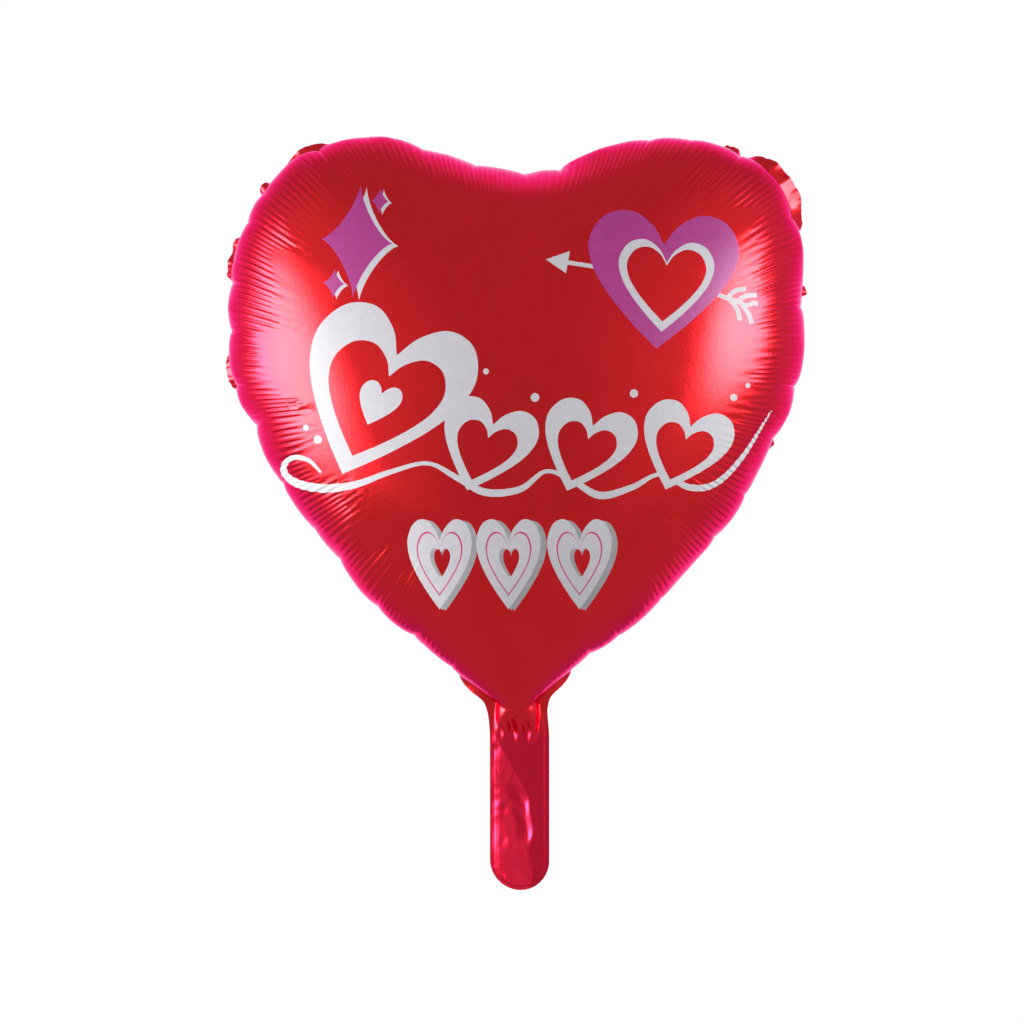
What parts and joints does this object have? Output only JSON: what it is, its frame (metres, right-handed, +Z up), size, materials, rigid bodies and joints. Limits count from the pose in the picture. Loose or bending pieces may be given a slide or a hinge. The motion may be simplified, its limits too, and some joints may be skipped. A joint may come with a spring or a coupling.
{
  "type": "heart-shaped foil balloon",
  "caption": "Inflated heart-shaped foil balloon: two sealed film panels, a self-sealing valve and a flat round-ended tail that folds at the neck.",
  "frame": {"origin": "the neck, where the heart's lower tip meets the tail and a ribbon is tied, in the plane of the seam", "axes": "+Z up from the tail to the lobes, -Y out of the printed front, +X to the right seen from the front"},
  "size_m": [0.3804, 0.2, 0.4921],
  "materials": {
    "front_foil": "glossy red metallised polyester film, printed on its outer side",
    "back_foil": "glossy red metallised polyester film, plain",
    "valve_film": "thin clear polyethylene film, satin",
    "white_ink": "white ink printed on the film, satin",
    "purple_ink": "purple ink printed on the film, satin"
  },
  "bodies": {
    "balloon": {"heart_front": "front_foil", "heart_back": "back_foil", "valve_upper_front": "valve_film", "valve_upper_back": "valve_film"},
    "tail": {"tail_front": "front_foil", "tail_back": "back_foil", "valve_lower_front": "valve_film", "valve_lower_back": "valve_film"}
  },
  "joints": [
    {"name": "tail_fold", "type": "hinge", "parent": "balloon", "child": "tail", "pos_m": [0, 0, -0.008], "axis": [1, 0, 0], "range_deg": [-120, 120]}
  ]
}
